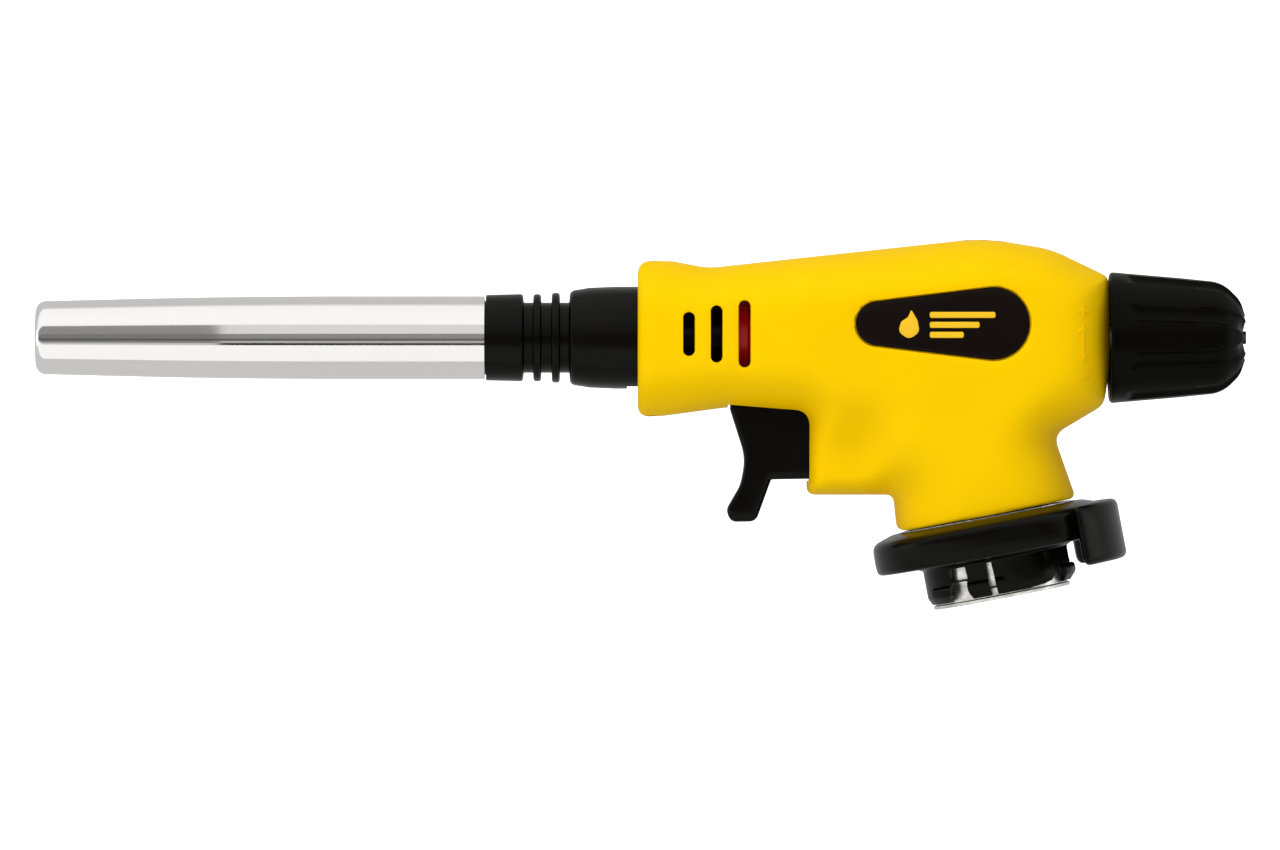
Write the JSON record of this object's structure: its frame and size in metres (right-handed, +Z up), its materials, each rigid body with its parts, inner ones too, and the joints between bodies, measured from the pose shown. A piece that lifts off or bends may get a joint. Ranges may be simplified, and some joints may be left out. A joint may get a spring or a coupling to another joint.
{
  "type": "propane torch",
  "caption": "Hand-held gas torch with a chrome flame tube, piezo trigger, fluted valve knob and a tilted bayonet coupling for a gas cartridge.",
  "frame": {"origin": "centre of the guide ring's underside, on the axis of the gas cartridge", "axes": "+X along the barrel from the muzzle towards the valve knob, +Z up, -Y is the torch's left side; the cartridge axis leans 10.75 degrees from Z in the XZ plane"},
  "size_m": [0.2689, 0.0528, 0.0822],
  "materials": {
    "yellow_plastic": "satin moulded",
    "black_plastic": "satin moulded",
    "badge_black": "semi-gloss",
    "polished_steel": "polished",
    "zinc_plate": "zinc plated",
    "steel": "bright",
    "brass": "turned",
    "red_anodised": "red anodised",
    "nitrile": "matt",
    "ceramic": "unglazed",
    "piezo_case": "moulded",
    "silicone_lead": "silicone"
  },
  "bodies": {
    "torch": {"body_shell_left": "yellow_plastic", "body_shell_right": "yellow_plastic", "shell_screw_1": "steel", "shell_screw_2": "steel", "shell_screw_3": "steel", "shell_screw_4": "steel", "shell_screw_5": "steel", "badge_left": "badge_black", "badge_right": "badge_black", "flame_tube": "polished_steel", "tube_sleeve": "black_plastic", "sleeve_pin": "steel", "mixing_tube": "brass", "burner_head": "brass", "electrode_insulator": "ceramic", "electrode_wire": "steel", "ignition_lead": "silicone_lead", "mixer_bush": "red_anodised", "gas_jet": "brass", "valve_block": "brass", "gland_nut": "brass", "gland_o_ring": "nitrile", "inlet_stem": "brass", "inlet_seal": "nitrile", "inlet_filter": "zinc_plate", "coupling_plate": "zinc_plate", "coupling_hub": "black_plastic", "bayonet_cup": "zinc_plate", "coupling_screw_1": "steel", "coupling_screw_2": "steel", "coupling_screw_3": "steel", "piezo_body": "piezo_case"},
    "needle": {"valve_needle": "steel"},
    "knob": {"gas_knob": "black_plastic", "valve_spindle": "steel"},
    "locking_ring": {"guide_ring": "black_plastic"},
    "trigger": {"trigger": "black_plastic", "piezo_plunger": "brass", "trigger_spring": "steel"}
  },
  "joints": [
    {"name": "needle_slide", "type": "slide", "parent": "torch", "child": "needle", "axis": [1, 0, 0], "range_m": [0, 0.0006]},
    {"name": "knob_turn", "type": "hinge", "parent": "needle", "child": "knob", "pos_m": [0.04, 0, 0.0482], "axis": [1, 0, 0], "range_deg": [0, 270]},
    {"name": "ring_turn", "type": "hinge", "parent": "torch", "child": "locking_ring", "pos_m": [0, 0, 0], "axis": [-0.1865, 0, 0.9825], "range_deg": [0, 40]},
    {"name": "trigger_slide", "type": "slide", "parent": "torch", "child": "trigger", "axis": [1, 0, 0], "range_m": [0, 0.0055], "stiffness_N_per_m": 1500, "springref_m": -0.003, "deforming": ["trigger_spring"]}
  ],
  "couplings": [
    {"joint": "knob_turn", "follows": "needle_slide", "rad_per_m": 7854}
  ]
}
